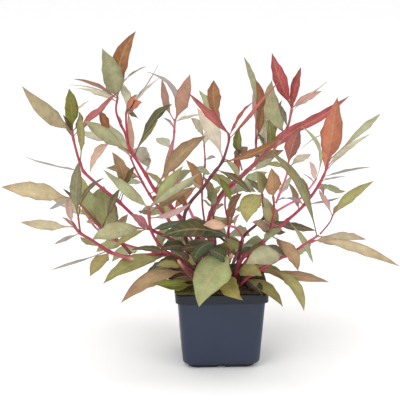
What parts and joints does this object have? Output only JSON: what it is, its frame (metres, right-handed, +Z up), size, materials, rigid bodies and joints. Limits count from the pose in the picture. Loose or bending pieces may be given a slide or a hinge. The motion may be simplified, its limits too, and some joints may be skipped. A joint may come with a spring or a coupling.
{
  "type": "potted alternanthera reineckii plant",
  "caption": "Bushy plant with lance-shaped green, olive and red leaves on pink-red stems, growing from soil in a square tapered nursery pot.",
  "frame": {"origin": "centre of the pot's flat underside", "axes": "+Z up out of the pot, +X to the plant's right as the picture shows it, -Y towards the viewer"},
  "size_m": [0.3711, 0.296, 0.3223],
  "materials": {
    "pot": "satin",
    "soil": "matte",
    "foliage": "satin"
  },
  "bodies": {
    "root": {"pot": "pot", "soil": "soil", "stem_left_low": "foliage", "shoot_left_low": "foliage", "stem_left_mid": "foliage", "stub_left_low": "foliage", "stem_front_left": "foliage", "stem_left_high": "foliage", "stem_top_left": "foliage", "shoot_top_left": "foliage", "shoot_left_back": "foliage", "stem_back_mid": "foliage", "stem_center": "foliage", "stem_right_top": "foliage", "shoot_mid_top": "foliage", "shoot_center_right": "foliage", "stem_right_front": "foliage", "stem_right_high": "foliage", "shoot_right_pink": "foliage", "shoot_right_upper": "foliage", "stem_right_low": "foliage", "shoot_right_low": "foliage", "stem_right_inner": "foliage", "shoot_front_pink": "foliage", "stem_mid_back": "foliage", "stem_mid_front": "foliage", "stem_mid_right": "foliage", "stub_left": "foliage", "stub_front": "foliage", "stub_right": "foliage", "stem_back_right": "foliage", "stem_back_far_right": "foliage", "stem_back_left": "foliage", "stem_back_far_left": "foliage", "stem_back_low_right": "foliage", "stem_back_inner": "foliage", "stem_back_inner_left": "foliage", "stub_back": "foliage"}
  },
  "joints": []
}
